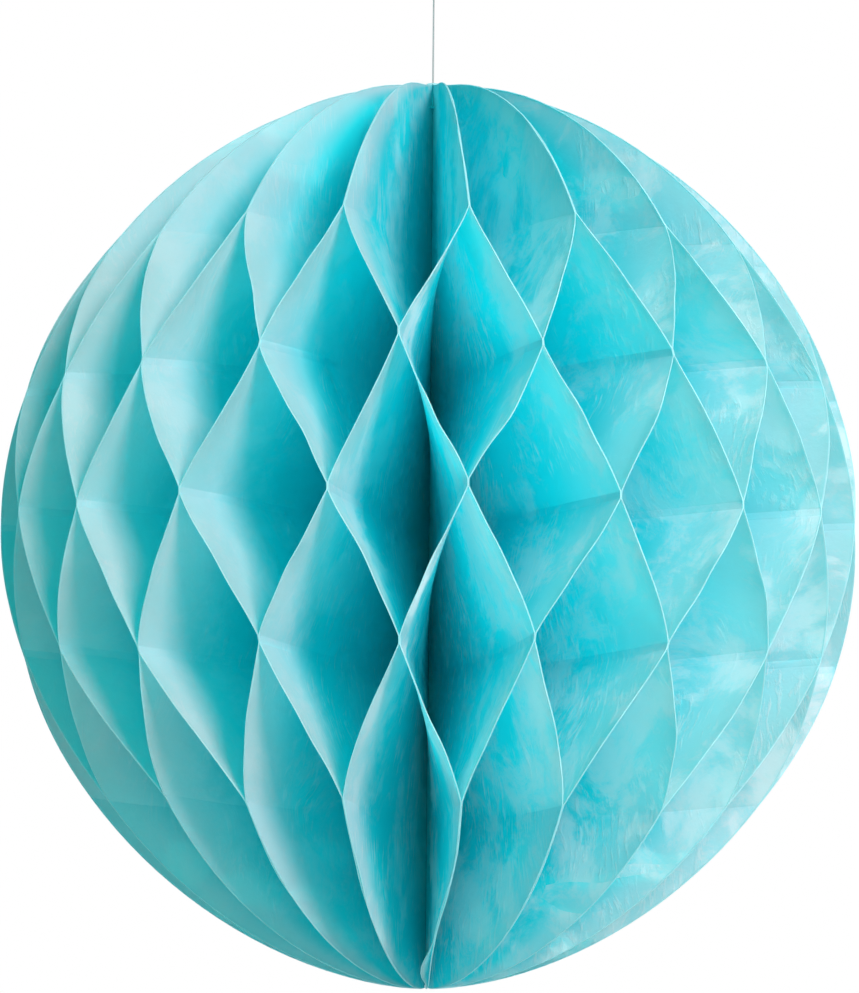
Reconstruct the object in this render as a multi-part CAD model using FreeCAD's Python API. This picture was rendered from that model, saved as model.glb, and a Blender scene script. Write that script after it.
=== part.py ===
import FreeCAD, Part
import math
import os

# Paper honeycomb ball, opened and hanging by its thread.
# Millimetres, +Z up. The origin is where the hanging loop bears on a hook, and
# the ball hangs below it. The front meridian faces -Y, the covers meet at +Y.
# Meridian m lies m * STEP_DEG from the front, towards +X on the right side.
# The thread pulls the paper up to a small peak at the top pole.
# A leaf plate is the flat half disc of tissue; glue strips join it to its
# neighbours, and the plate stands on the meridian at the outer end of its cells.

# Ball
LEAVES_PER_SIDE = 21
BALL_RADIUS = 100.0
POLE_HEIGHT = 107.0
RIM_POWER = 1.14
TOP_PEAK = 2.6
PEAK_REACH = 6.0
LEAF_THICKNESS = 0.03
LEAF_PITCH = 0.2

# Covers and the adhesive pads that hold them together
COVER_THICKNESS = 0.25
COVER_INSET = 1.5
COVER_NOTCH_RADIUS = 9.0
PAD_THICKNESS = 0.2
PAD_LENGTH = 24.0
PAD_WIDTH = 8.0
PAD_HEIGHTS = (-58.0, 0.0, 58.0)
PAD_RIM_MARGIN = 5.0

# Thread work
THREAD_DIAMETER = 0.4
TIE_HOLE_DIAMETER = 1.0
TIE_FROM_SPINE = 1.2
TIE_HEIGHT = 103.0
ANCHOR_KNOT_RADIUS = 0.7
ANCHOR_KNOT_DEPTH = 0.6
THREAD_LENGTH = 29.5
LOOP_KNOT_RADIUS = 0.8
LOOP_LENGTH = 22.0
LOOP_TOP_RADIUS = 3.0

# Worked out from the above
STEP_DEG = 180.0 / LEAVES_PER_SIDE
SPINE_RADIUS = LEAF_PITCH / 2 / math.tan(math.radians(STEP_DEG / 2))
SIDE_SHIFT = PAD_THICKNESS / 2 + COVER_THICKNESS + LEAF_THICKNESS / 2
THREAD_RADIUS = THREAD_DIAMETER / 2
TIE_RADIUS = SPINE_RADIUS + TIE_FROM_SPINE
ANCHOR_HEIGHT = POLE_HEIGHT + TOP_PEAK - ANCHOR_KNOT_DEPTH
LOOP_KNOT_HEIGHT = ANCHOR_HEIGHT + ANCHOR_KNOT_RADIUS + THREAD_LENGTH + LOOP_KNOT_RADIUS
BEARING_HEIGHT = LOOP_KNOT_HEIGHT + LOOP_KNOT_RADIUS + LOOP_LENGTH

UP = FreeCAD.Vector(0, 0, 1)
TO_ORIGIN = FreeCAD.Vector(0, 0, -BEARING_HEIGHT)


def save(shape, name):
    """Hang the shape, drawn about the ball's centre, from the origin and write it."""
    hung = shape.copy()
    hung.translate(TO_ORIGIN)
    hung.exportStep("parts/" + name + ".step")


def rim_radius(height, inset=0.0):
    """Distance from the axis to the rim curve at a height above the centre."""
    share = math.sqrt(1 - (height / (POLE_HEIGHT - inset)) ** 2)
    return (BALL_RADIUS - inset) * share ** RIM_POWER


def half_disc(thickness, inset=0.0):
    """Flat half disc in the XZ plane, spine towards the axis, centred on Y = 0."""
    radius = BALL_RADIUS - inset
    pole = POLE_HEIGHT - inset
    last = math.acos((SPINE_RADIUS / radius) ** (1 / RIM_POWER))
    spans = 24
    points = []
    for i in range(spans + 1):
        angle = last * (2 * i / spans - 1)
        across = radius * math.cos(angle) ** RIM_POWER
        height = pole * math.sin(angle)
        if height > 0:
            height += TOP_PEAK * math.exp(-across / PEAK_REACH)
        points.append(FreeCAD.Vector(across, -thickness / 2, height))
    rim = Part.BSplineCurve()
    rim.interpolate(points)
    spine = Part.LineSegment(points[-1], points[0])
    outline = Part.Wire([rim.toShape(), spine.toShape()])
    return Part.Face(outline).extrude(FreeCAD.Vector(0, thickness, 0))


def drill(plate, radius, across, height):
    """Cut a hole through a half disc, square to it."""
    start = FreeCAD.Vector(across, -1, height)
    return plate.cut(Part.makeCylinder(radius, 2, start, FreeCAD.Vector(0, 1, 0)))


def leaf_plate():
    """One tissue leaf with a needle hole near each end of its spine."""
    plate = half_disc(LEAF_THICKNESS)
    for height in (TIE_HEIGHT, -TIE_HEIGHT):
        plate = drill(plate, TIE_HOLE_DIAMETER / 2, TIE_RADIUS, height)
    return plate


def cover_plate():
    """One cover card: a slightly smaller half disc, notched clear of both ties."""
    plate = half_disc(COVER_THICKNESS, COVER_INSET)
    for height in (POLE_HEIGHT, -POLE_HEIGHT):
        plate = drill(plate, COVER_NOTCH_RADIUS, 0, height)
    return plate


def pad_blocks():
    """The adhesive pads as separate flat strips near the cover's rim."""
    pads = []
    for height in PAD_HEIGHTS:
        highest = abs(height) + PAD_LENGTH / 2
        outer = rim_radius(highest, COVER_INSET) - PAD_RIM_MARGIN
        corner = FreeCAD.Vector(outer - PAD_WIDTH, -PAD_THICKNESS / 2, height - PAD_LENGTH / 2)
        pads.append(Part.makeBox(PAD_WIDTH, PAD_THICKNESS, PAD_LENGTH, corner))
    return Part.makeCompound(pads)


def on_meridian(plate, side, number, offset=0.0):
    """Stand a flat piece on a meridian of one side; offset is along the turn."""
    angle = side * number * STEP_DEG
    turned = plate.copy()
    turned.translate(FreeCAD.Vector(0, side * offset, 0))
    turned.rotate(FreeCAD.Vector(0, 0, 0), UP, angle - 90)
    turned.translate(FreeCAD.Vector(side * SIDE_SHIFT, 0, 0))
    return turned


def tube(path_edges, start, along):
    """Round thread along a path."""
    profile = Part.Wire(Part.makeCircle(THREAD_RADIUS, start, along))
    return Part.Wire(path_edges).makePipeShell([profile], True, False)


def straight_thread(start, end):
    """Round thread between two points."""
    run = end - start
    return Part.makeCylinder(THREAD_RADIUS, run.Length, start, run)


def tie_ring(height):
    """Closed tie thread through every leaf: two half turns and two short runs."""
    front = -TIE_RADIUS
    back = TIE_RADIUS
    reach = SIDE_SHIFT + TIE_RADIUS

    def at(x, y):
        return FreeCAD.Vector(x, y, height)

    path = [
        Part.LineSegment(at(-SIDE_SHIFT, front), at(SIDE_SHIFT, front)).toShape(),
        Part.Arc(at(SIDE_SHIFT, front), at(reach, 0), at(SIDE_SHIFT, back)).toShape(),
        Part.LineSegment(at(SIDE_SHIFT, back), at(-SIDE_SHIFT, back)).toShape(),
        Part.Arc(at(-SIDE_SHIFT, back), at(-reach, 0), at(-SIDE_SHIFT, front)).toShape(),
    ]
    return tube(path, at(-SIDE_SHIFT, front), FreeCAD.Vector(1, 0, 0))


def sling_leg(side):
    """One leg of the sling, from the tie ring up to the anchor knot."""
    foot = FreeCAD.Vector(0, side * TIE_RADIUS, TIE_HEIGHT)
    knot = FreeCAD.Vector(0, 0, ANCHOR_HEIGHT)
    return straight_thread(foot, knot)


def knot_ball(radius, height):
    """Plain body of a pulled-tight knot."""
    return Part.makeSphere(radius, FreeCAD.Vector(0, 0, height))


def loop_tube():
    """Teardrop loop: a leg, an arc over the top, and a leg back to the knot."""
    apex = BEARING_HEIGHT + THREAD_RADIUS
    centre = apex - LOOP_TOP_RADIUS
    reach = centre - LOOP_KNOT_HEIGHT
    half_angle = math.asin(LOOP_TOP_RADIUS / reach)
    leg = reach * math.cos(half_angle)
    touch_x = leg * math.sin(half_angle)
    touch_z = LOOP_KNOT_HEIGHT + leg * math.cos(half_angle)
    start = FreeCAD.Vector(0, 0, LOOP_KNOT_HEIGHT)
    right = FreeCAD.Vector(touch_x, 0, touch_z)
    left = FreeCAD.Vector(-touch_x, 0, touch_z)
    top = FreeCAD.Vector(0, 0, apex)
    over = Part.Arc(right, top, left)
    bend = tube([over.toShape()], right, right - start)
    return bend.fuse([straight_thread(start, right), straight_thread(start, left)])


def main():
    os.makedirs("parts", exist_ok=True)
    leaf = leaf_plate()
    cover = cover_plate()
    cover_offset = (LEAF_THICKNESS + COVER_THICKNESS) / 2
    for side, name in ((1, "right"), (-1, "left")):
        for number in range(1, LEAVES_PER_SIDE + 1):
            placed = on_meridian(leaf, side, number)
            save(placed, "leaf_%s_%02d" % (name, number))
        save(on_meridian(cover, side, LEAVES_PER_SIDE, cover_offset), "cover_" + name)
    save(on_meridian(pad_blocks(), 1, LEAVES_PER_SIDE, SIDE_SHIFT), "adhesive_pads")

    top_tie = tie_ring(TIE_HEIGHT)
    anchor_knot = knot_ball(ANCHOR_KNOT_RADIUS, ANCHOR_HEIGHT)
    loop_knot = knot_ball(LOOP_KNOT_RADIUS, LOOP_KNOT_HEIGHT)
    legs = Part.makeCompound([sling_leg(side).cut(top_tie).cut(anchor_knot) for side in (1, -1)])
    thread = straight_thread(FreeCAD.Vector(0, 0, ANCHOR_HEIGHT), FreeCAD.Vector(0, 0, LOOP_KNOT_HEIGHT))
    save(top_tie, "top_tie")
    save(tie_ring(-TIE_HEIGHT), "bottom_tie")
    save(legs, "hanging_sling")
    save(anchor_knot, "anchor_knot")
    save(thread.cut([anchor_knot, loop_knot]), "hanging_thread")
    save(loop_knot, "loop_knot")
    save(loop_tube().cut(loop_knot), "hanging_loop")
    print("leaf area mm2", leaf.Volume / LEAF_THICKNESS)
    print("spine radius", SPINE_RADIUS, "side shift", SIDE_SHIFT, "bearing", BEARING_HEIGHT)


main()
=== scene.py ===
import math

import bpy
import numpy as np
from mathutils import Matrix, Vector


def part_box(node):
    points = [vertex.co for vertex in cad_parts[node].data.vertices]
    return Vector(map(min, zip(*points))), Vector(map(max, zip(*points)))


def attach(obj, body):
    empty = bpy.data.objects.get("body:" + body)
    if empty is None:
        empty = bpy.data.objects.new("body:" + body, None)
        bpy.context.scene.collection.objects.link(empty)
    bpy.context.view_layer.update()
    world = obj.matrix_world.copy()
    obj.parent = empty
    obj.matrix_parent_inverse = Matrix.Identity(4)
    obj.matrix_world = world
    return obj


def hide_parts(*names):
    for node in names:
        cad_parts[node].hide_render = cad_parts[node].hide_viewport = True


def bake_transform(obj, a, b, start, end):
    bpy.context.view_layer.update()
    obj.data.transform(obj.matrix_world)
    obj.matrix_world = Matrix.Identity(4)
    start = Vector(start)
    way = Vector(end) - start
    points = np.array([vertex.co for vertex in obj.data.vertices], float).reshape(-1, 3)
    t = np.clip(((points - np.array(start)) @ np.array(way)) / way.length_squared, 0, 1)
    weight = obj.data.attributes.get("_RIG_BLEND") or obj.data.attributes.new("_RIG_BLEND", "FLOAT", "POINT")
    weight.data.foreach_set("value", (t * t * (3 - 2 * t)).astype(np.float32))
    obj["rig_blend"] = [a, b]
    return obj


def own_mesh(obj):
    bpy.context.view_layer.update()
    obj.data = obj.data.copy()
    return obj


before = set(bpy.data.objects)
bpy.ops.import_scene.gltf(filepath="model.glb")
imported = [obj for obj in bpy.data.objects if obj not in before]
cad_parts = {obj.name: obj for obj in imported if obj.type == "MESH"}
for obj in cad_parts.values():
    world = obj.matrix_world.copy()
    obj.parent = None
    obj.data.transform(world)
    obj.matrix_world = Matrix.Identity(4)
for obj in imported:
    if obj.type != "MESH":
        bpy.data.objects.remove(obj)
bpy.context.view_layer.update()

# ---- The ball, in metres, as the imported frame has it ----
LEAVES = 21
STEP = math.pi / LEAVES
BACK_LOW, BACK_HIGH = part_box("leaf_right_%02d" % LEAVES)
SPINE = BACK_LOW.y
RIM = BACK_HIGH.y
SHIFT = (BACK_LOW.x + BACK_HIGH.x) / 2
POLE = 0.107
RIM_POWER = 1.14
TOP_PEAK = 0.0026        # the thread pulls the top pole up into a small peak
PEAK_REACH = 0.006       # radius over which the peak dies away
CENTRE = BACK_LOW.z + POLE * math.sqrt(1 - (SPINE / RIM) ** (2 / RIM_POWER))

# ---- Cells: five rows of glue; even rows sit on odd meridians ----
CELL = 0.0335            # height between glue rows in the flat sheet
MID_ROW = -0.002         # height of the middle row above the ball's centre
OUTER_ROW = 2            # rows above and below the middle one
GLUE = 0.0017            # height of a glue stripe
CURVE = 0.15             # how far a span bends into an S between two stripes
SHEET = 0.00007          # thickness of the sheet
RIM_SHEET = 0.00022      # thickness where the cut edge has fluffed up
RIM_BAND = 0.0004        # width of that edge
HAIR = 0.00002           # air between two glued sheets
CORE = 0.0006            # the glued leaves close the spine down to this radius
NODE_TURN = 0.035        # scatter of the nodes, in half cells
NODE_DROP = 0.0005       # scatter of their heights
SPAN_BULGE = 0.035       # how far a span bellies out, in half cells
WRINKLE = 0.012          # soft creases across a span, in half cells
WRINKLES = 5             # waves that make up the creases of one leaf
GATHER_RADIUS = 0.004    # inside this the front leaves gather at the spine
GATHER_MERIDIANS = 8     # and only this many meridians round the front
CREASE_ANGLE = 13        # degrees; a sharper fold shows as a crease

# ---- Grid of a leaf: lines up each span and each cap, and columns from spine to rim ----
SPAN_LINES = 19
CAP_LINES = 21
COLUMNS = 25

rng = np.random.default_rng(7)


def smooth(t):
    return t * t * (3 - 2 * t)


# ---------------------------------------------------------------- tissue leaves
def row_gap(radius):
    """Height between two glue rows, which shrinks as the cells open with radius."""
    return np.sqrt(CELL ** 2 - (radius * STEP) ** 2)


def sheet_height(level, radius):
    """Height above the ball's centre; whole levels are glue rows and 3 is a pole."""
    row = np.clip(level, -OUTER_ROW, OUTER_ROW)
    cap = level - row
    top = POLE + TOP_PEAK - MID_ROW - OUTER_ROW * CELL
    bottom = POLE + MID_ROW - OUTER_ROW * CELL
    return MID_ROW + row * row_gap(radius) + np.where(cap > 0, cap * top, cap * bottom)


def rim_height(radius, upper):
    """Distance of the rim above or below the centre; upper is 1 above it and 0 below."""
    peak = TOP_PEAK * np.exp(-radius / PEAK_REACH)
    return POLE * np.sqrt(1 - (radius / RIM) ** (2 / RIM_POWER)) + upper * peak


def rim_radius(level):
    """Where each level of the sheet meets the rim, by halving."""
    low = np.full(level.shape, CORE)
    high = np.full(level.shape, RIM)
    upper = np.where(level > 0, 1.0, 0.0)
    for _ in range(50):
        middle = (low + high) / 2
        outside = np.abs(sheet_height(level, middle)) > rim_height(middle, upper)
        high = np.where(outside, middle, high)
        low = np.where(outside, low, middle)
    return np.maximum(low, 2 * CORE)


def levels():
    """Levels of the grid lines: both edges and the middle of each stripe, and between."""
    edge = GLUE / 2 / CELL
    found = []
    for row in range(-OUTER_ROW, OUTER_ROW):
        found += list(np.linspace(row + edge, row + 1 - edge, SPAN_LINES))
        found.append(row + 1)
    turn = np.linspace(0, math.pi / 2, CAP_LINES + 1)[1:]
    cap = OUTER_ROW + np.sin(turn) * 0.998
    return np.array([*-cap[::-1], -OUTER_ROW, *found, *cap])


def zigzag(level):
    """1 where the sheet is glued on an odd meridian and 0 on an even one."""
    edge = GLUE / 2 / CELL
    away = np.abs(np.minimum(np.abs(level), OUTER_ROW) - 1)
    t = np.clip((away - edge) / (1 - 2 * edge), 0, 1)
    return t + CURVE * (smooth(t) - t)


NODES = {}
for row in range(-OUTER_ROW - 1, OUTER_ROW + 2):
    for meridian in range(-LEAVES, LEAVES + 1):
        turn, drop = rng.normal(0, NODE_TURN), rng.normal(0, NODE_DROP)
        held = abs(meridian) == LEAVES
        NODES[row, meridian] = (0.0 if held else turn, drop)
for row in range(-OUTER_ROW - 1, OUTER_ROW + 2):
    drop = NODES[row, LEAVES][1]
    NODES[row, -LEAVES] = (0.0, drop)

# The nodes round the front as they have settled: from left to right along each row,
# how far each has moved to the right in half cells and up in millimetres.
SETTLED = {
    2: (-5, [(0.04, -1.2), (0.14, -0.4), (-0.07, -0.9), (0.08, -1.5), (-0.05, -1.4),
             (-0.16, -1.2)]),
    1: (-6, [(0, -1.6), (-0.03, -2.0), (0.02, -0.7), (0, 1.1), (0, -0.8), (0.05, -0.4), (0, 1.0)]),
    0: (-7, [(0, 0.8), (-0.06, -0.5), (-0.05, 0), (0.12, -0.4), (-0.07, 0.4), (0.03, -1.0),
             (0.1, -0.8), (0.1, 0.6)]),
    -1: (-6, [(-0.08, 0.4), (-0.05, -1.1), (0.05, 0.6), (0.05, 0.1), (-0.09, 1.2), (0, 0.4),
              (0.09, 0)]),
    -2: (-5, [(0.2, 2.0), (0.2, 0.2), (0, 1.4), (0.03, 0.4), (-0.2, -0.3), (0, -1.2)]),
}
for row, (first, moves) in SETTLED.items():
    for i, (turn, rise) in enumerate(moves):
        NODES[row, first + 2 * i] = (turn, rise / 1000)


def scatter(level, odd, even):
    """Turn and drop of the sheet at each level, carried from glue row to glue row."""
    turns = np.zeros(level.shape)
    drops = np.zeros(level.shape)
    base = np.clip(np.floor(level), -OUTER_ROW - 1, OUTER_ROW).astype(int)
    for i, row in enumerate(base):
        t = level[i] - row
        ends = []
        for k in (row, row + 1):
            meridian = odd if (k % 2 == 0 or abs(k) > OUTER_ROW) else even
            ends.append(NODES[k, meridian])
        turns[i] = ends[0][0] * (1 - t) + ends[1][0] * t
        drops[i] = ends[0][1] * (1 - t) + ends[1][1] * t
    return turns, drops


def eased(value, start, length):
    """0 up to start, then a soft rise to 1 over the length."""
    return smooth(np.clip((value - start) / length, 0, 1))


def on_ball(place, radius, height, along=0.0):
    """Point at a signed meridian place; along shifts it square to its radius."""
    angle = place * STEP
    gathered = 1 - eased(radius, 0, GATHER_RADIUS)
    in_front = 1 - eased(np.abs(place), 0, GATHER_MERIDIANS)
    shift = SHIFT * (1 - gathered * in_front) * np.clip(place, -1, 1)
    x = shift + radius * np.sin(angle) + along * np.cos(angle)
    y = -radius * np.cos(angle) + along * np.sin(angle)
    return np.stack([x, y, CENTRE + height], axis=-1)


def loose_tip(level):
    """The front right leaf has come away near the bottom pole and curls to the left."""
    return 0.42 * eased(-level, 2.68, 0.20) * (1 - eased(-level, 2.88, 0.11))


def swung_tip(level):
    """The front pair of leaves leans to the left towards the bottom pole."""
    return 0.40 * eased(-level, 2.20, 0.65)


def wrinkles(level, radius):
    """Soft creases of one leaf, none at its glue rows, poles and spine."""
    made = np.zeros(radius.shape)
    for _ in range(WRINKLES):
        heading = rng.uniform(0, math.pi)
        wave = rng.uniform(0.011, 0.024)
        start = rng.uniform(0, 2 * math.pi)
        along = radius * math.sin(heading) * 0.6 + level * CELL * math.cos(heading)
        made += np.sin(2 * math.pi * along / wave + start)
    patch = rng.uniform(0, 2 * math.pi, 2)
    where = 0.5 + 0.5 * np.sin(level * 1.7 + patch[0]) * np.sin(radius * 70 + patch[1])
    return made * where * np.sin(math.pi * level) ** 2 * np.clip(radius / 0.03, 0, 1)


def leaf_sheet(side, number):
    """Middle surface of one leaf, with what its material and its joint need."""
    level = levels()
    outer = rim_radius(level)
    share = np.linspace(0, 1, COLUMNS) ** 0.85
    inner = outer - RIM_BAND
    radius = CORE + (inner - CORE)[:, None] * share[None, :]
    radius = np.concatenate([radius, outer[:, None]], axis=1)
    lines = level[:, None] + np.zeros(radius.shape)
    height = sheet_height(lines, radius)

    near, far = side * (number - 1), side * number
    odd, even = (far, near) if number % 2 else (near, far)
    turns, drops = scatter(level, odd, even)
    depth = (radius / RIM) ** 1.3
    to_odd = zigzag(lines)
    outward = to_odd if number % 2 else 1 - to_odd

    bulges = rng.normal(0, SPAN_BULGE, 8)
    cell = np.clip(np.floor(lines) + 4, 0, 7).astype(int)
    span = np.sin(math.pi * (lines - np.floor(lines))) ** 2
    free = np.abs(lines) < OUTER_ROW
    bulge = np.where(free, bulges[cell] * span, 0) * depth

    weight = outward + side * turns[:, None] * depth + bulge
    weight = weight + WRINKLE * wrinkles(lines, radius)
    if side == 1 and number == 1:
        weight = weight - loose_tip(lines) * (radius / outer[:, None]) ** 2
    if side == 1 and number <= 2:
        weight = weight - swung_tip(lines) * radius / outer[:, None]
    place = side * (number - 1 + weight)
    rim = np.zeros(radius.shape)
    rim[:, -1] = 1
    thickness = SHEET + (RIM_SHEET - SHEET) * rim
    apart = side * (0.5 - outward) * (thickness + HAIR)
    points = on_ball(place, radius, height + drops[:, None] * depth, apart)
    flat = np.stack([radius, CELL * lines, np.full(radius.shape, number * 0.7 * side)], axis=-1)
    reach = radius / outer[:, None]
    return points, weight, thickness, flat, reach, rim


def sheet_normals(points):
    along = np.gradient(points, axis=0)
    across = np.gradient(points, axis=1)
    normal = np.cross(along, across)
    return normal / np.maximum(np.linalg.norm(normal, axis=-1, keepdims=True), 1e-12)


def border(rows, columns):
    """Grid indices once round the border."""
    index = np.arange(rows * columns).reshape(rows, columns)
    return np.concatenate([index[0, :-1], index[:-1, -1], index[-1, :0:-1], index[:0:-1, 0]])


def grid_shell(name, points, thickness):
    """Closed thin sheet: the grid's two faces and a wall round the border."""
    rows, columns = points.shape[:2]
    normal = sheet_normals(points)
    half = normal * (thickness / 2)[..., None]
    both = np.concatenate([(points + half).reshape(-1, 3), (points - half).reshape(-1, 3)])
    count = rows * columns
    index = np.arange(count).reshape(rows, columns)
    quads = np.stack([index[:-1, :-1], index[:-1, 1:], index[1:, 1:], index[1:, :-1]], axis=-1)
    quads = quads.reshape(-1, 4)
    edge = border(rows, columns)
    following = np.roll(edge, -1)
    wall = np.stack([edge, following, following + count, edge + count], axis=-1)
    faces = np.concatenate([quads[:, ::-1], quads + count, wall])
    mesh = bpy.data.meshes.new(name)
    mesh.from_pydata(both.tolist(), [], faces.tolist())
    mesh.update()
    mesh.shade_smooth()
    mesh.set_sharp_from_angle(angle=math.radians(CREASE_ANGLE))
    obj = bpy.data.objects.new(name, mesh)
    bpy.context.collection.objects.link(obj)
    return obj


def point_attribute(obj, name, kind, values):
    attribute = obj.data.attributes.new(name, kind, "POINT")
    field = "vector" if kind == "FLOAT_VECTOR" else "value"
    attribute.data.foreach_set(field, np.ascontiguousarray(values, np.float32).ravel())


def make_leaf(side, name, number, material):
    points, weight, thickness, flat, reach, rim = leaf_sheet(side, number)
    node = "leaf_%s_%02d" % (name, number)
    obj = grid_shell("tissue_%s_%02d" % (name, number), points, thickness)
    point_attribute(obj, "flat_at", "FLOAT_VECTOR", np.concatenate([flat, flat]))
    point_attribute(obj, "reach", "FLOAT", np.concatenate([reach, reach]))
    point_attribute(obj, "rim", "FLOAT", np.concatenate([rim, rim]))
    obj.data.materials.append(material)
    inner_body = "spine" if number == 1 else "%s_%02d" % (name, number - 1)
    outer_body = "%s_%02d" % (name, number)
    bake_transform(obj, inner_body, outer_body, (0, 0, 0), (0, 0, 1))
    weights = obj.data.attributes["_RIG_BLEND"]
    both = np.concatenate([weight.ravel(), weight.ravel()])
    weights.data.foreach_set("value", both.astype(np.float32))
    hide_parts(node)


# ---------------------------------------------------------------- node helpers
def material(name):
    made = bpy.data.materials.new(name)
    made.use_nodes = True
    made.node_tree.nodes.clear()
    return made, made.node_tree


def add(tree, kind, inputs=None, **settings):
    node = tree.nodes.new(kind)
    for key, value in settings.items():
        setattr(node, key, value)
    for key, value in (inputs or {}).items():
        if isinstance(value, bpy.types.NodeSocket):
            tree.links.new(value, node.inputs[key])
        else:
            node.inputs[key].default_value = value
    return node


def mix_colour(tree, share, first, second):
    node = add(tree, "ShaderNodeMix", data_type="RGBA")
    for index, value in ((0, share), (6, first), (7, second)):
        if isinstance(value, bpy.types.NodeSocket):
            tree.links.new(value, node.inputs[index])
        else:
            node.inputs[index].default_value = value
    return node.outputs[2]


def scaled(tree, vector, scale, turn):
    return add(tree, "ShaderNodeMapping", {"Vector": vector, "Scale": scale, "Rotation": turn}).outputs[0]


def ramp(tree, value, low, high, to_low=0.0, to_high=1.0):
    node = add(tree, "ShaderNodeMapRange", {"Value": value, "From Min": low, "From Max": high,
                                            "To Min": to_low, "To Max": to_high})
    node.interpolation_type = "SMOOTHSTEP"
    return node.outputs[0]


def noise(tree, vector, scale, detail=3.0, roughness=0.5):
    return add(tree, "ShaderNodeTexNoise", {"Vector": vector, "Scale": scale, "Detail": detail,
                                            "Roughness": roughness}).outputs["Fac"]


def bent(tree, vector, scale, amount):
    """The vector moved about by a soft noise, so that straight marks bend."""
    wander = add(tree, "ShaderNodeTexNoise", {"Vector": vector, "Scale": scale, "Detail": 1.0})
    inputs = {0: wander.outputs["Color"], 1: (amount, amount, amount), 2: vector}
    return add(tree, "ShaderNodeVectorMath", inputs, operation="MULTIPLY_ADD").outputs[0]


def maths(tree, operation, first, second):
    node = add(tree, "ShaderNodeMath", operation=operation)
    for index, value in enumerate((first, second)):
        if isinstance(value, bpy.types.NodeSocket):
            tree.links.new(value, node.inputs[index])
        else:
            node.inputs[index].default_value = value
    return node.outputs[0]


# ---------------------------------------------------------------- materials
PALE = (0.80, 0.88, 0.91, 1)       # pale fibres of the tissue near its rim, paler still as painted light where the key lights the cells
PAINTED_SHADE_DEEP = (0.03, 0.83, 0.88, 1)      # painted shade: saturated colour deep in the cells, where the neighbouring leaves shade them
FIBRE = (0.98, 0.93, 0.96, 1)      # bare fibres, pale; laid on mostly on the right half as painted highlight
DYE = (0.0, 0.88, 0.95, 1)         # light that has gone through the sheet
THIN = (0.03, 0.95, 0.99, 1)       # the same, where the sheet is thin
CUT_EDGE_AND_HIGHLIGHT = (0.58, 0.91, 0.96, 1)       # the cut edge: its fluffed fibres are paler, and it is lighter still as a painted highlight of the edge catching the light
CLOUDY = (0.55, 0.84, 0.88, 1)     # what the tissue reflects where it is cloudy
DENSE = (0.30, 0.84, 0.90, 1)      # light through where fibres lie dense, weighted to the right half with the painted highlight
SCRATCHED = (0.50, 0.95, 0.98, 1)  # light through where the dye is scratched, weighted to the right half with the painted highlight
WHITE = (1, 1, 1, 1)


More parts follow.
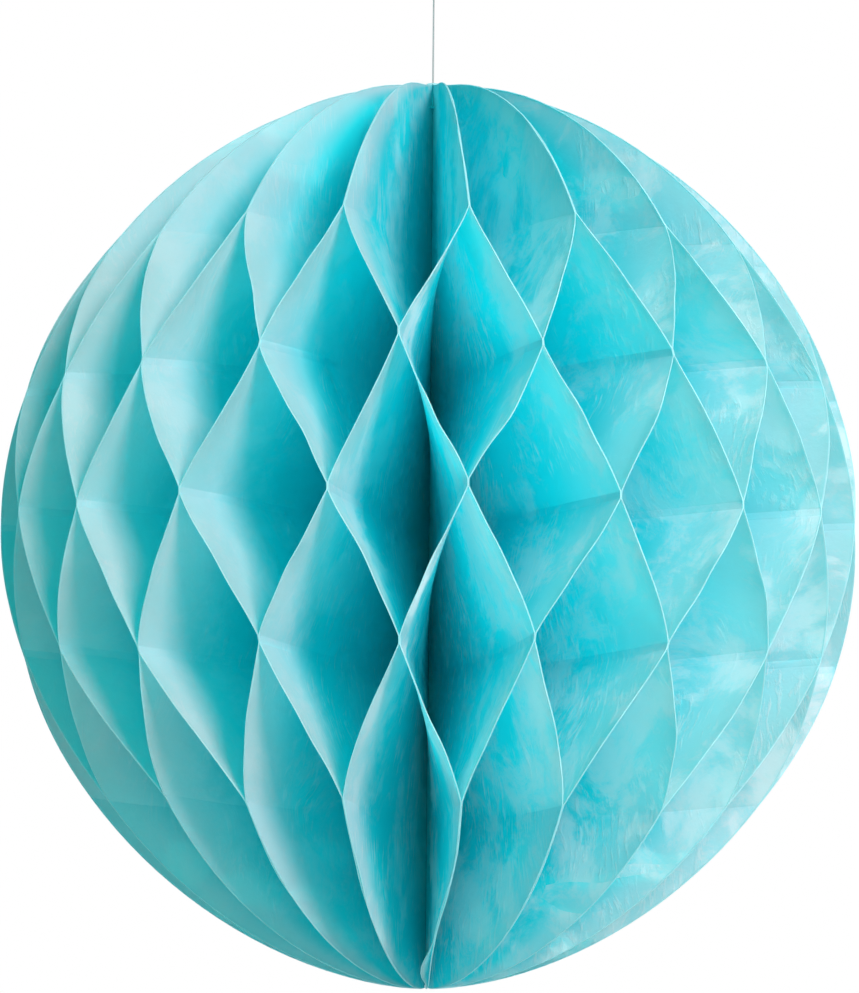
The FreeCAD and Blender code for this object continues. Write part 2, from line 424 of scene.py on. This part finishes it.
def tissue_material():
    """Dyed tissue: its surface fibres reflect pale, and light that goes through is dyed.

    The leaf is a closed shell, so only its outer faces dye the light; inner faces pass it.
    The right half gets more pale fibre and scratch marks than the left, as painted highlight where the key
    light grazes it.
    """
    made, tree = material("tissue_turquoise")
    at = add(tree, "ShaderNodeAttribute", attribute_name="flat_at").outputs["Vector"]
    rim = ramp(tree, add(tree, "ShaderNodeAttribute", attribute_name="rim").outputs["Fac"], 0.0, 0.6)
    separate = add(tree, "ShaderNodeSeparateXYZ", {"Vector": at})
    within = add(tree, "ShaderNodeNewGeometry").outputs["Backfacing"]

    clouds = noise(tree, at, 75, 5, 0.6)
    specks = noise(tree, at, 900, 3, 0.6)
    streak_at = scaled(tree, bent(tree, at, 55, 0.012), (760, 210, 1), (0, 0, math.radians(17)))
    streaks = noise(tree, streak_at, 1, 4, 0.65)
    patches = noise(tree, at, 34, 3, 0.6)
    # painted highlight: side weights the fibre and scratch marks from 0.3 on the left half to 1 on the right
    # half, where the key light grazes the leaves
    side = ramp(tree, separate.outputs[2], -2, 2, 0.3, 1.0)
    scratches_and_painted_highlight = maths(tree, "MULTIPLY", ramp(tree, streaks, 0.48, 0.70), ramp(tree, patches, 0.48, 0.58))
    scratches_and_painted_highlight = maths(tree, "MULTIPLY", scratches_and_painted_highlight, side)
    dense_at = scaled(tree, bent(tree, at, 40, 0.02), (44, 58, 30), (0, 0, math.radians(-20)))
    dense_and_painted_highlight = ramp(tree, noise(tree, dense_at, 1, 8, 0.68), 0.44, 0.62)
    dense_and_painted_highlight = maths(tree, "MULTIPLY", dense_and_painted_highlight, side)

    reach = add(tree, "ShaderNodeAttribute", attribute_name="reach").outputs["Fac"]
    # painted shade: the reflected colour goes from PALE at the rim to a saturated teal deep in the cells,
    # and the cloudy marks fade out with it
    outward = ramp(tree, reach, 0.68, 0.95)
    front = mix_colour(tree, outward, PAINTED_SHADE_DEEP, PALE)
    cloudy = maths(tree, "MULTIPLY", ramp(tree, clouds, 0.35, 0.75, 0, 0.4), outward)
    front = mix_colour(tree, cloudy, front, CLOUDY)
    front = mix_colour(tree, maths(tree, "MULTIPLY", dense_and_painted_highlight, 0.7), front, FIBRE)
    front = mix_colour(tree, maths(tree, "MULTIPLY", scratches_and_painted_highlight, 0.85), front, FIBRE)
    # partly painted highlight: the rim band takes the pale cut-edge colour, both reflected and let through
    front = mix_colour(tree, rim, front, CUT_EDGE_AND_HIGHLIGHT)

    through = mix_colour(tree, ramp(tree, clouds, 0.30, 0.70, 0, 0.4), DYE, THIN)
    through = mix_colour(tree, maths(tree, "MULTIPLY", dense_and_painted_highlight, 0.5), through, DENSE)
    through = mix_colour(tree, maths(tree, "MULTIPLY", scratches_and_painted_highlight, 0.7), through, SCRATCHED)
    through = mix_colour(tree, rim, through, CUT_EDGE_AND_HIGHLIGHT)
    through = mix_colour(tree, within, through, WHITE)

    relief = maths(tree, "ADD", maths(tree, "MULTIPLY", specks, 0.25), scratches_and_painted_highlight)
    relief = maths(tree, "ADD", relief, maths(tree, "MULTIPLY", clouds, 1.5))
    bump = add(tree, "ShaderNodeBump", {"Height": relief, "Strength": 0.25, "Distance": 0.0006}).outputs[0]

    fibrous = maths(tree, "MAXIMUM", maths(tree, "MULTIPLY", dense_and_painted_highlight, 0.6), scratches_and_painted_highlight)
    sheen = maths(tree, "MULTIPLY", fibrous, ramp(tree, rim, 0, 1, 1, 0))
    gloss = ramp(tree, rim, 0, 1, 0.25, 0)
    body = add(tree, "ShaderNodeBsdfPrincipled", {"Base Color": front, "Roughness": 0.72, "Normal": bump,
                                                  "Specular IOR Level": gloss, "Sheen Weight": sheen})
    glow = add(tree, "ShaderNodeBsdfTranslucent", {"Color": through, "Normal": bump})
    passed = maths(tree, "MAXIMUM", ramp(tree, dense_and_painted_highlight, 0, 1, 0.56, 0.36), within)
    both = add(tree, "ShaderNodeMixShader", {0: passed, 1: body.outputs[0], 2: glow.outputs[0]})
    add(tree, "ShaderNodeOutputMaterial", {"Surface": both.outputs[0]})
    return made


def card_material():
    made, tree = material("cover_card")
    at = add(tree, "ShaderNodeTexCoord").outputs["Object"]
    grain = noise(tree, at, 1400, 4, 0.6)
    clouds = noise(tree, at, 90, 3, 0.5)
    colour = mix_colour(tree, ramp(tree, clouds, 0.3, 0.7), (0.05, 0.48, 0.54, 1), (0.09, 0.56, 0.62, 1))
    colour = mix_colour(tree, ramp(tree, grain, 0.55, 0.75, 0, 0.3), colour, (0.25, 0.70, 0.74, 1))
    bump = add(tree, "ShaderNodeBump", {"Height": grain, "Strength": 0.3, "Distance": 0.0002}).outputs[0]
    body = add(tree, "ShaderNodeBsdfPrincipled", {"Base Color": colour, "Roughness": 0.65, "Normal": bump})
    add(tree, "ShaderNodeOutputMaterial", {"Surface": body.outputs[0]})
    return made


def adhesive_material():
    made, tree = material("adhesive_pad")
    at = add(tree, "ShaderNodeTexCoord").outputs["Object"]
    foam = add(tree, "ShaderNodeTexVoronoi", {"Vector": at, "Scale": 2200}).outputs["Distance"]
    colour = mix_colour(tree, ramp(tree, foam, 0.1, 0.6), (0.78, 0.78, 0.72, 1), (0.92, 0.92, 0.88, 1))
    bump = add(tree, "ShaderNodeBump", {"Height": foam, "Strength": 0.4, "Distance": 0.0001}).outputs[0]
    body = add(tree, "ShaderNodeBsdfPrincipled", {"Base Color": colour, "Roughness": 0.4, "Normal": bump})
    add(tree, "ShaderNodeOutputMaterial", {"Surface": body.outputs[0]})
    return made


def thread_material(name, dark, light, fuzzy):
    made, tree = material(name)
    at = add(tree, "ShaderNodeTexCoord").outputs["Object"]
    lay = scaled(tree, at, (900, 900, 900), (0, math.radians(35), 0))
    twist = add(tree, "ShaderNodeTexWave", {"Vector": lay, "Scale": 1.0, "Distortion": 1.5}).outputs["Fac"]
    fuzz = noise(tree, at, 6000, 3, 0.6)
    colour = mix_colour(tree, twist, dark, light)
    colour = mix_colour(tree, ramp(tree, fuzz, 0.55, 0.8, 0, 0.4), colour, fuzzy)
    bump = add(tree, "ShaderNodeBump", {"Height": twist, "Strength": 0.6, "Distance": 0.0001}).outputs[0]
    body = add(tree, "ShaderNodeBsdfPrincipled", {"Base Color": colour, "Roughness": 0.6, "Normal": bump,
                                                  "Sheen Weight": 0.3})
    add(tree, "ShaderNodeOutputMaterial", {"Surface": body.outputs[0]})
    return made


TISSUE = tissue_material()
CARD = card_material()
ADHESIVE = adhesive_material()
THREAD = thread_material(
    "twisted_thread", dark=(0.28, 0.29, 0.31, 1), light=(0.50, 0.51, 0.53, 1), fuzzy=(0.6, 0.6, 0.6, 1))
TIE_THREAD = thread_material(
    "tie_thread", dark=(0.0, 0.50, 0.56, 1), light=(0.02, 0.66, 0.72, 1), fuzzy=(0.10, 0.7, 0.75, 1))


# ---------------------------------------------------------------- leaves, covers, pads
for side, name in ((1, "right"), (-1, "left")):
    for number in range(1, LEAVES + 1):
        make_leaf(side, name, number, TISSUE)


def refinish(node, made):
    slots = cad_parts[node].material_slots
    for index in range(len(slots)):
        slots[index].link = "OBJECT"
        slots[index].material = made


refinish("cover_right", CARD)
refinish("cover_left", CARD)
refinish("adhesive_pads", ADHESIVE)


# ---------------------------------------------------------------- thread work
THREAD_RADIUS = 0.0002
TIE_LOW, TIE_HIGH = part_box("top_tie")
TIE_RADIUS = TIE_HIGH.y - THREAD_RADIUS
TIE_Z = (TIE_LOW.z + TIE_HIGH.z) / 2
BOTTOM_LOW, BOTTOM_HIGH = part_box("bottom_tie")
BOTTOM_Z = (BOTTOM_LOW.z + BOTTOM_HIGH.z) / 2
ANCHOR_LOW, ANCHOR_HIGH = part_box("anchor_knot")
ANCHOR_Z = (ANCHOR_LOW.z + ANCHOR_HIGH.z) / 2
KNOT_LOW, KNOT_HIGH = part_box("loop_knot")
KNOT_Z = (KNOT_LOW.z + KNOT_HIGH.z) / 2
LOOP_TOP_RADIUS = 0.003
ANCHOR_KNOT_SIZE = 0.00058
LOOP_KNOT_SIZE = 0.00066
LOOP_FOOT = 0.0006       # the loop's legs leave the knot this far above its middle


def strand_tube(name, path, radius, closed=False, sides=10, made=THREAD):
    """Round tube along close points, with a frame carried along it without twist."""
    path = np.asarray(path, float)
    count = len(path)
    if closed:
        ahead = np.roll(path, -1, axis=0) - np.roll(path, 1, axis=0)
    else:
        ahead = np.gradient(path, axis=0)
    ahead /= np.linalg.norm(ahead, axis=1, keepdims=True)
    start = np.cross(ahead[0], (0.3, 0.9, 0.2))
    normal = start / np.linalg.norm(start)
    turn = np.linspace(0, 2 * math.pi, sides, endpoint=False)
    vertices = []
    for i in range(count):
        normal = normal - ahead[i] * (normal @ ahead[i])
        normal /= np.linalg.norm(normal)
        other = np.cross(ahead[i], normal)
        for angle in turn:
            vertices.append(path[i] + radius * (math.cos(angle) * normal + math.sin(angle) * other))
    faces = []
    for i in range(count if closed else count - 1):
        j = (i + 1) % count
        for k in range(sides):
            k2 = (k + 1) % sides
            faces.append((i * sides + k, i * sides + k2, j * sides + k2, j * sides + k))
    if not closed:
        faces.append(tuple(range(sides))[::-1])
        faces.append(tuple((count - 1) * sides + k for k in range(sides)))
    mesh = bpy.data.meshes.new(name)
    mesh.from_pydata([tuple(v) for v in vertices], [], faces)
    mesh.update()
    mesh.shade_smooth()
    obj = bpy.data.objects.new(name, mesh)
    bpy.context.collection.objects.link(obj)
    obj.data.materials.append(made)
    return obj


def ring_path(height):
    """Two half turns about the halves' own axes, and the short runs between."""
    path = []
    for centre, start in ((SHIFT, 0), (-SHIFT, math.pi)):
        for angle in np.linspace(start, start + math.pi, 60):
            path.append((centre + TIE_RADIUS * math.sin(angle), -TIE_RADIUS * math.cos(angle), height))
    return path


def knot_path(centre, size):
    """Overhand knot pulled tight."""
    turn = np.linspace(0, 2 * math.pi, 72, endpoint=False)
    x = np.sin(turn) + 2 * np.sin(2 * turn)
    y = np.cos(turn) - 2 * np.cos(2 * turn)
    z = -np.sin(3 * turn)
    return np.stack([x, y * 0.8, z * 1.1], axis=1) * size / 3 + np.array([0, 0, centre])


def loop_path():
    """Teardrop loop from the knot, over the top and back, in the XZ plane."""
    centre = THREAD_RADIUS - LOOP_TOP_RADIUS
    reach = centre - KNOT_Z
    half = math.asin(LOOP_TOP_RADIUS / reach)
    touch = np.array([LOOP_TOP_RADIUS * math.cos(half), 0, centre - LOOP_TOP_RADIUS * math.sin(half)])
    foot = np.array([0, 0, KNOT_Z + LOOP_FOOT])
    leg = [foot + (touch - foot) * t for t in np.linspace(0, 1, 14)]
    turn = np.linspace(-half, math.pi + half, 30)[1:-1]
    top = np.array([0, 0, centre])
    over = [top + LOOP_TOP_RADIUS * np.array([math.cos(a), 0, math.sin(a)]) for a in turn]
    back = [p * np.array([-1, 1, 1]) for p in leg[::-1]]
    return leg + over + back


def tie(name, height):
    obj = strand_tube(name + "_thread", ring_path(height), THREAD_RADIUS, closed=True, made=TIE_THREAD)
    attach(obj, "spine")
    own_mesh(obj)
    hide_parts(name)


def sling_leg(name, side):
    foot = np.array([0, side * TIE_RADIUS, TIE_Z])
    knot = np.array([0, 0, ANCHOR_Z])
    path = [foot + (knot - foot) * t for t in np.linspace(0, 1, 12)]
    obj = strand_tube(name, path, THREAD_RADIUS, made=TIE_THREAD)
    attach(obj, "spine")
    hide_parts("hanging_sling")
    return obj


tie("top_tie", TIE_Z)
tie("bottom_tie", BOTTOM_Z)
sling_leg("sling_front", -1)
back_leg = sling_leg("sling_back", 1)
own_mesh(back_leg)

KNOTS = (
    ("anchor_knot", ANCHOR_Z, ANCHOR_KNOT_SIZE, TIE_THREAD),
    ("loop_knot", KNOT_Z, LOOP_KNOT_SIZE, THREAD),
)
for node, centre, size, made in KNOTS:
    knot = strand_tube(node + "_thread", knot_path(centre, size), THREAD_RADIUS, closed=True, made=made)
    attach(knot, "spine")
    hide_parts(node)

loop = strand_tube("hanging_loop_thread", loop_path(), THREAD_RADIUS)
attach(loop, "spine")
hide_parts("hanging_loop")


def hanging_thread():
    """The thread that holds the ball, pulled straight by its weight."""
    curve = bpy.data.curves.new("hanging_thread_line", "CURVE")
    curve.dimensions = "3D"
    spline = curve.splines.new("NURBS")
    heights = np.linspace(ANCHOR_Z, KNOT_Z, 5)
    spline.points.add(len(heights) - 1)
    for point, height in zip(spline.points, heights):
        point.co = (0, 0, height, 1)
    spline.order_u = 3
    spline.use_endpoint_u = True
    curve.bevel_depth = THREAD_RADIUS
    curve.bevel_resolution = 3
    curve.use_fill_caps = True
    obj = bpy.data.objects.new("hanging_thread_line", curve)
    bpy.context.collection.objects.link(obj)
    curve.materials.append(THREAD)
    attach(obj, "spine")
    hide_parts("hanging_thread")


hanging_thread()


# ---------------------------------------------------------------- floor, light, camera
FLOOR_RADIUS = 1.3
FLOOR_Z = -0.85
LIGHT_DISTANCE = 1.6
VIEW_AZIMUTH = 3.84
VIEW_ELEVATION = -7.24
VIEW_ROLL = 0.50
VIEW_DISTANCE = 0.5524
LENS = 83.93
AIM_ABOVE_CENTRE = 0.00812


def plain_material(name, colour, roughness):
    made, tree = material(name)
    body = add(tree, "ShaderNodeBsdfPrincipled", {"Base Color": colour, "Roughness": roughness})
    add(tree, "ShaderNodeOutputMaterial", {"Surface": body.outputs[0]})
    return made


def make_floor():
    bpy.ops.mesh.primitive_circle_add(
        vertices=96, radius=FLOOR_RADIUS, fill_type="NGON", location=(0, 0, FLOOR_Z))
    floor = bpy.context.object
    floor.name = "studio_floor"
    floor.data.materials.append(plain_material("studio_floor_paint", (0.90, 0.82, 0.83, 1), 0.8))


def area_light(name, azimuth, elevation, size, power, colour):
    """Soft light aimed at the ball; azimuth turns from the front towards +X."""
    turn, rise = math.radians(azimuth), math.radians(elevation)
    away = Vector((math.sin(turn) * math.cos(rise), -math.cos(turn) * math.cos(rise), math.sin(rise)))
    lamp = bpy.data.lights.new(name, "AREA")
    lamp.shape = "DISK"
    lamp.size = size
    lamp.energy = power
    lamp.color = colour
    obj = bpy.data.objects.new(name, lamp)
    bpy.context.collection.objects.link(obj)
    obj.location = Vector((0, 0, CENTRE)) + away * LIGHT_DISTANCE
    obj.rotation_mode = "QUATERNION"
    obj.rotation_quaternion = away.to_track_quat("Z", "Y")


def make_world(lighting, seen):
    """Even studio: the backdrop is seen white, and lights the ball faintly and cooler."""
    world = bpy.data.worlds.new("studio")
    bpy.context.scene.world = world
    world.use_nodes = True
    tree = world.node_tree
    tree.nodes.clear()
    path = add(tree, "ShaderNodeLightPath")
    shown = path.outputs["Is Camera Ray"]
    strength = add(tree, "ShaderNodeMapRange", {"Value": shown, "To Min": lighting, "To Max": seen})
    colour = mix_colour(tree, shown, (0.1, 1, 1, 1), WHITE)
    light = add(tree, "ShaderNodeBackground", {"Color": colour, "Strength": strength.outputs[0]})
    add(tree, "ShaderNodeOutputWorld", {"Surface": light.outputs[0]})


def make_camera():
    turn, rise = math.radians(VIEW_AZIMUTH), math.radians(VIEW_ELEVATION)
    back = Vector((math.sin(turn) * math.cos(rise), -math.cos(turn) * math.cos(rise), math.sin(rise)))
    data = bpy.data.cameras.new("photo_view")
    data.lens = LENS
    data.sensor_width = 36
    data.dof.use_dof = False
    camera = bpy.data.objects.new("photo_view", data)
    bpy.context.collection.objects.link(camera)
    camera.location = Vector((0, 0, CENTRE + AIM_ABOVE_CENTRE)) + back * VIEW_DISTANCE
    camera.rotation_mode = "QUATERNION"
    camera.rotation_quaternion = (-back).to_track_quat("-Z", "Y")
    camera.rotation_mode = "XYZ"
    camera.rotation_euler.rotate_axis("Z", math.radians(VIEW_ROLL))
    bpy.context.scene.camera = camera


make_floor()
make_world(0.05, 1.0)
area_light("key", 31, 23, 0.6, 30, (1.0, 0.73, 0.73))
area_light("front_fill", 0, 0, 1.6, 11, (0.02, 1.0, 0.86))
area_light("right_fill", 75, 10, 1.0, 6, (0.9, 1.0, 0.98))
area_light("top_fill", 0, 80, 1.4, 7, (0.1, 1.0, 0.96))
area_light("back_fill", 175, 12, 1.4, 10, (1, 1, 1))
make_camera()
bpy.context.scene.view_settings.view_transform = "Standard"
bpy.context.scene.view_settings.look = "None"
cycles = bpy.context.scene.cycles
cycles.max_bounces = 24
cycles.diffuse_bounces = 10
cycles.transmission_bounces = 14
